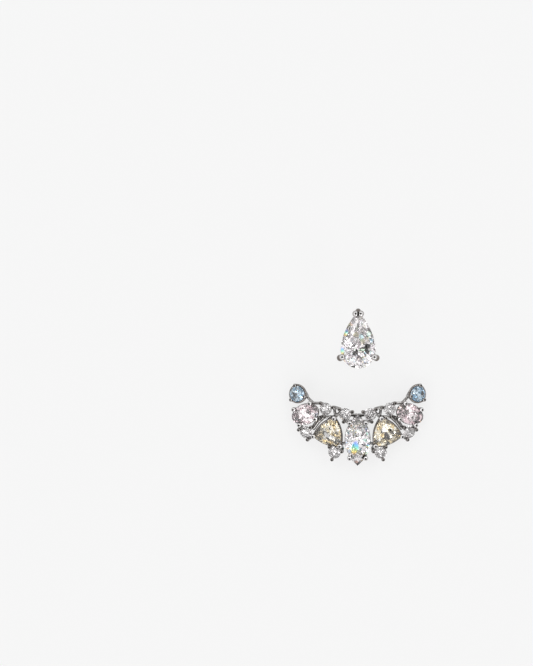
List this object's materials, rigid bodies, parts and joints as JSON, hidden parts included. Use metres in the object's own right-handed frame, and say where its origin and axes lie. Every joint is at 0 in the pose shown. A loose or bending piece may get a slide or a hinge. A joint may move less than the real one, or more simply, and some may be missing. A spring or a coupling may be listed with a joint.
{
  "type": "ear jacket earring with pear stud",
  "caption": "Ear jacket earring: a claw-set pear stud on a disc nut, and a curved fan of marquise, trillion, oval and round stones that sits under the lobe",
  "frame": {"origin": "on the surface that the earring lies on, below the middle of its box", "axes": "+Z is the way the stones face, +Y runs up the ear from the fan to the stud, +X runs across the fan to the viewer's right"},
  "size_m": [0.0242, 0.0276, 0.0135],
  "materials": {
    "rhodium_metal": "polished",
    "clear_stone": "polished facets",
    "champagne_stone": "polished facets",
    "pink_stone": "polished facets",
    "blue_stone": "polished facets"
  },
  "bodies": {
    "root": {"stud_setting": "rhodium_metal", "stud_stone": "clear_stone", "ear_nut": "rhodium_metal", "jacket_frame": "rhodium_metal", "bar_sleeve": "rhodium_metal", "marquise_stone": "clear_stone", "trillion_left": "champagne_stone", "oval_left": "pink_stone", "blue_left": "blue_stone", "inner_left": "clear_stone", "upper_left": "clear_stone", "outer_left": "clear_stone", "lower_left": "clear_stone", "trillion_right": "champagne_stone", "oval_right": "pink_stone", "blue_right": "blue_stone", "inner_right": "clear_stone", "upper_right": "clear_stone", "outer_right": "clear_stone", "lower_right": "clear_stone"}
  },
  "joints": []
}
